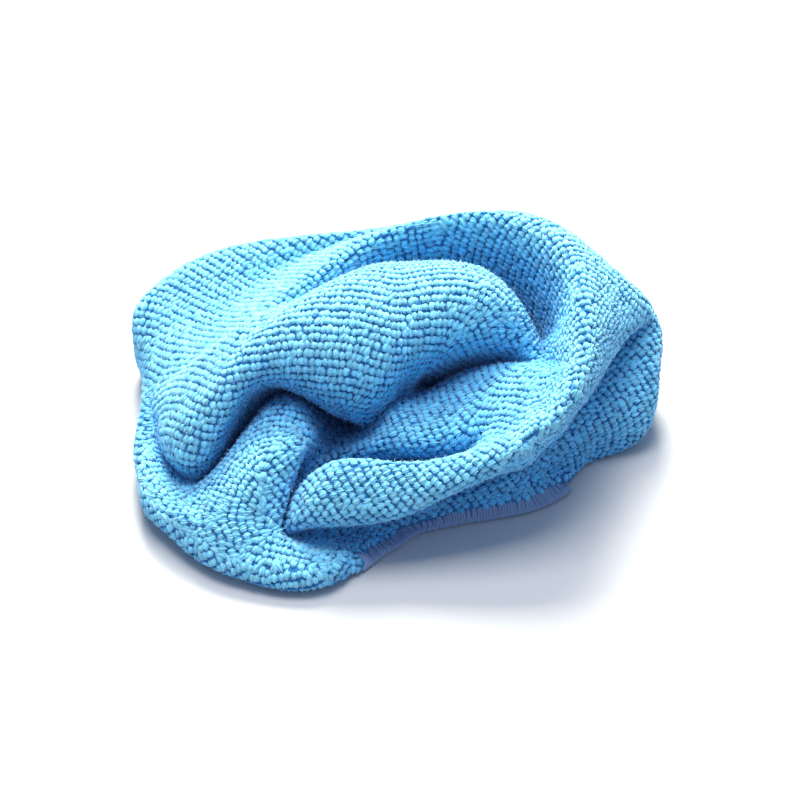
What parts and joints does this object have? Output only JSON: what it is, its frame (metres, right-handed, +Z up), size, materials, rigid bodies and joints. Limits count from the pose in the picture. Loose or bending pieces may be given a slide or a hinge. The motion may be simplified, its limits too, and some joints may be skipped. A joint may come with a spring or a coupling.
{
  "type": "microfibre cloth",
  "caption": "Terry microfibre cleaning cloth dropped in a loose heap of soft folds, with an overlocked hem showing at the front.",
  "frame": {"origin": "on the surface the cloth lies on, under the middle of its bounding box", "axes": "+Z up from the surface, +X along the heap's length to the right as seen from its front, +Y towards its back"},
  "size_m": [0.1734, 0.137, 0.0647],
  "materials": {
    "cloth": "sky-blue terry microfibre, matte with a soft nap"
  },
  "bodies": {
    "root": {"cloth": "cloth"}
  },
  "joints": []
}
